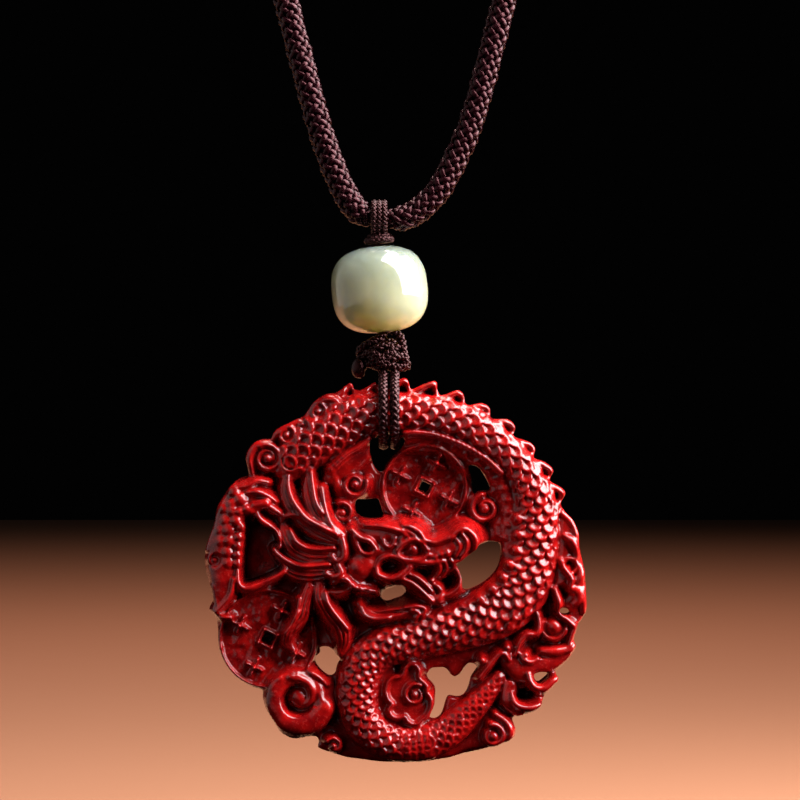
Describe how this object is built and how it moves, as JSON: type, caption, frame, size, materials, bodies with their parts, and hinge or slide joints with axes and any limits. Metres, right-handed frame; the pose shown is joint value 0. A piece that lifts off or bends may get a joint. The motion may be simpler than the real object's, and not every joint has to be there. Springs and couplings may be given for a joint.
{
  "type": "pendant necklace with a carved dragon disc in cinnabar red, a jade barrel bead and a braided cord",
  "caption": "Necklace: pierced dragon disc in cinnabar red, hung by a thin cord and a pale jade barrel bead from a dark braided neck cord",
  "frame": {"origin": "under the sleeve knot at the nape, where the loop sits on its wearer", "axes": "the necklace hangs in the XZ plane along -Z; the front of the disc faces -Y; X runs to the right as seen from the front"},
  "size_m": [0.1286, 0.0122, 0.3504],
  "materials": {
    "braid": "round braid of fine polyester yarn, dark maroon brown",
    "thin_cord": "thin twisted polyester cord, reddish brown",
    "jade": "polished pale grey-green to yellow jade, slightly translucent",
    "cinnabar": "carved cinnabar red, semi-gloss"
  },
  "bodies": {
    "neck": {"neck_cord_left": "braid", "neck_cord_right": "braid", "back_knot": "braid"},
    "drop": {"hanger_loop": "thin_cord", "jade_bead": "jade", "bead_thread": "thin_cord", "lower_knot": "thin_cord", "pendant_loop_left": "thin_cord", "pendant_loop_right": "thin_cord", "pendant": "cinnabar"}
  },
  "joints": [
    {"name": "drop_swing", "type": "hinge", "parent": "neck", "child": "drop", "pos_m": [-0.002, 0, -0.27509], "axis": [1, 0, 0], "range_deg": [-90, 90]}
  ]
}
